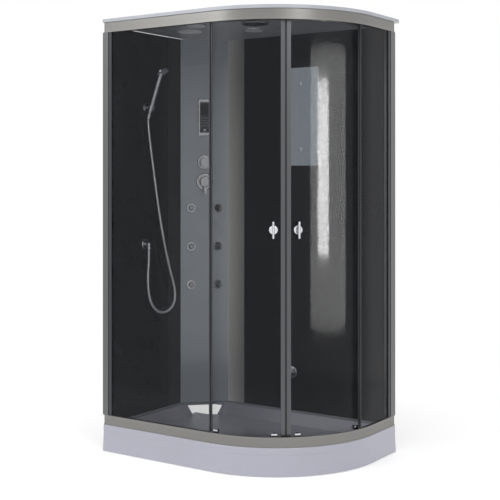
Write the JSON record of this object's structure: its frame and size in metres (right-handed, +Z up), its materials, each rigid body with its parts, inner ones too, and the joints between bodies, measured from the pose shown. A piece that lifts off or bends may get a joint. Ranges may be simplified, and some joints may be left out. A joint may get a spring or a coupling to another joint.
{
  "type": "steam shower cabin",
  "caption": "Corner steam shower cabin with a curved glass front, sliding doors, service column, hand shower, body jets, mirror and a low tray.",
  "frame": {"origin": "middle of the footprint's bounding box, on the floor", "axes": "+Z up; +X along the back wall, away from the service column; +Y towards the back wall"},
  "size_m": [1.2, 0.835, 2.1],
  "materials": {
    "acrylic": "glossy sanitary acrylic",
    "roof_abs": "glossy thermoformed plastic",
    "galvanised": "galvanised steel",
    "nylon": "moulded black plastic",
    "white_plastic": "moulded white plastic",
    "satin_aluminium": "satin anodised, fine lengthwise lines",
    "tinted_glass": "grey tinted toughened glass",
    "black_glass": "black back-painted toughened glass",
    "column_abs": "silver grey gloss",
    "mirror": "silvered glass",
    "chrome": "polished chrome",
    "chromed_plastic": "chrome plated plastic",
    "clear_seal": "clear soft sealing strip",
    "display": "dark gloss window",
    "brass": "cast brass",
    "pipe": "plastic water pipe",
    "steam_case": "moulded casing",
    "lamp": "frosted lamp cover",
    "hose": "metallic spiral shower hose",
    "wheel": "white nylon roller"
  },
  "bodies": {
    "root": {"tray": "acrylic", "front_apron": "acrylic", "support_frame": "galvanised", "levelling_feet": "nylon", "drain_trap": "white_plastic", "drain_seal": "nylon", "left_post": "satin_aluminium", "right_post": "satin_aluminium", "bottom_rail": "satin_aluminium", "top_rail": "satin_aluminium", "left_fixed_glass": "tinted_glass", "right_fixed_glass": "tinted_glass", "fixed_glass_seals": "satin_aluminium", "frame_screws": "chrome", "left_wall": "black_glass", "back_wall": "black_glass", "column_panel": "column_abs", "mirror": "mirror", "mirror_screws": "chrome", "roof_panel": "roof_abs", "rain_head": "chromed_plastic", "ceiling_light": "lamp", "speaker": "white_plastic", "fan_housing": "white_plastic", "control_bezel": "chromed_plastic", "control_display": "display", "valve_body": "brass", "knob_roses": "chromed_plastic", "jet_roses": "chromed_plastic", "jet_manifold": "pipe", "supply_pipes": "pipe", "steam_generator": "steam_case", "steam_outlet": "chromed_plastic", "handset_bracket": "chromed_plastic", "wall_outlet": "chrome", "shower_hose": "hose"},
    "left_door": {"left_door_glass": "tinted_glass", "left_door_seals": "clear_seal", "left_door_handle": "chrome", "left_door_carriers": "chromed_plastic"},
    "left_rear_wheel": {"left_door_rear_wheel": "wheel"},
    "left_lead_wheel": {"left_door_lead_wheel": "wheel"},
    "right_door": {"right_door_glass": "tinted_glass", "right_door_seals": "clear_seal", "right_door_handle": "chrome", "right_door_carriers": "chromed_plastic"},
    "right_rear_wheel": {"right_door_rear_wheel": "wheel"},
    "right_lead_wheel": {"right_door_lead_wheel": "wheel"},
    "nozzle_1": {"jet_nozzle_1": "chromed_plastic"},
    "nozzle_2": {"jet_nozzle_2": "chromed_plastic"},
    "nozzle_3": {"jet_nozzle_3": "chromed_plastic"},
    "nozzle_4": {"jet_nozzle_4": "chromed_plastic"},
    "nozzle_5": {"jet_nozzle_5": "chromed_plastic"},
    "nozzle_6": {"jet_nozzle_6": "chromed_plastic"},
    "diverter": {"diverter_knob": "chromed_plastic"},
    "mixer": {"mixer_lever": "chromed_plastic"},
    "hand_shower": {"handset": "chromed_plastic"},
    "fan": {"fan_impeller": "nylon"},
    "drain_lid": {"drain_cover": "chromed_plastic"},
    "power_button": {"power_key": "chromed_plastic"}
  },
  "joints": [
    {"name": "left_door_slide", "type": "hinge", "parent": "root", "child": "left_door", "pos_m": [0.05, 0.1325, 1.096], "axis": [0, 0, -1], "range_deg": [0, 25]},
    {"name": "left_rear_wheel_spin", "type": "hinge", "parent": "left_door", "child": "left_rear_wheel", "pos_m": [0.06581, -0.38486, 2.05025], "axis": [0.0305, -0.9995, 0], "range_deg": [0, 1130]},
    {"name": "left_lead_wheel_spin", "type": "hinge", "parent": "left_door", "child": "left_lead_wheel", "pos_m": [0.32957, -0.3031, 2.05025], "axis": [0.5401, -0.8416, 0], "range_deg": [0, 1130]},
    {"name": "right_door_slide", "type": "hinge", "parent": "root", "child": "right_door", "pos_m": [0.05, 0.1325, 1.096], "axis": [0, 0, 1], "range_deg": [0, 25]},
    {"name": "right_rear_wheel_spin", "type": "hinge", "parent": "right_door", "child": "right_rear_wheel", "pos_m": [0.55851, 0.03595, 2.05025], "axis": [-0.9824, 0.1865, 0], "range_deg": [0, 1130]},
    {"name": "right_lead_wheel_spin", "type": "hinge", "parent": "right_door", "child": "right_lead_wheel", "pos_m": [0.41155, -0.23789, 2.05025], "axis": [-0.6985, 0.7156, 0], "range_deg": [0, 1130]},
    {"name": "nozzle_1_tilt", "type": "hinge", "parent": "root", "child": "nozzle_1", "pos_m": [-0.52141, 0.20265, 1.168], "axis": [0.7071, 0.7071, 0], "range_deg": [-12, 12]},
    {"name": "nozzle_2_tilt", "type": "hinge", "parent": "root", "child": "nozzle_2", "pos_m": [-0.42015, 0.30391, 1.168], "axis": [0.7071, 0.7071, 0], "range_deg": [-12, 12]},
    {"name": "nozzle_3_tilt", "type": "hinge", "parent": "root", "child": "nozzle_3", "pos_m": [-0.52141, 0.20265, 0.964], "axis": [0.7071, 0.7071, 0], "range_deg": [-12, 12]},
    {"name": "nozzle_4_tilt", "type": "hinge", "parent": "root", "child": "nozzle_4", "pos_m": [-0.42015, 0.30391, 0.964], "axis": [0.7071, 0.7071, 0], "range_deg": [-12, 12]},
    {"name": "nozzle_5_tilt", "type": "hinge", "parent": "root", "child": "nozzle_5", "pos_m": [-0.52141, 0.20265, 0.76], "axis": [0.7071, 0.7071, 0], "range_deg": [-12, 12]},
    {"name": "nozzle_6_tilt", "type": "hinge", "parent": "root", "child": "nozzle_6", "pos_m": [-0.42015, 0.30391, 0.76], "axis": [0.7071, 0.7071, 0], "range_deg": [-12, 12]},
    {"name": "diverter_turn", "type": "hinge", "parent": "root", "child": "diverter", "pos_m": [-0.45735, 0.23985, 1.412], "axis": [0.7071, -0.7071, 0], "range_deg": [-72, 72]},
    {"name": "mixer_turn", "type": "hinge", "parent": "root", "child": "mixer", "pos_m": [-0.45735, 0.23985, 1.307], "axis": [0.7071, -0.7071, 0], "range_deg": [0, 120]},
    {"name": "handset_lift", "type": "slide", "parent": "root", "child": "hand_shower", "axis": [0.342, 0, 0.9397], "range_m": [0, 0.06], "deforming": ["shower_hose"]},
    {"name": "fan_spin", "type": "hinge", "parent": "root", "child": "fan", "pos_m": [-0.34, -0.0475, 2.074], "axis": [0, 0, 1], "continuous": true},
    {"name": "drain_lid_lift", "type": "slide", "parent": "root", "child": "drain_lid", "axis": [0, 0, 1], "range_m": [0, 0.03]},
    {"name": "power_press", "type": "slide", "parent": "root", "child": "power_button", "axis": [-0.7071, 0.7071, 0], "range_m": [0, 0.0012], "stiffness_N_per_m": 500}
  ],
  "couplings": [
    {"joint": "left_rear_wheel_spin", "follows": "left_door_slide", "ratio": 45.009},
    {"joint": "left_lead_wheel_spin", "follows": "left_door_slide", "ratio": 45.009},
    {"joint": "right_rear_wheel_spin", "follows": "right_door_slide", "ratio": 45.009},
    {"joint": "right_lead_wheel_spin", "follows": "right_door_slide", "ratio": 45.009}
  ]
}
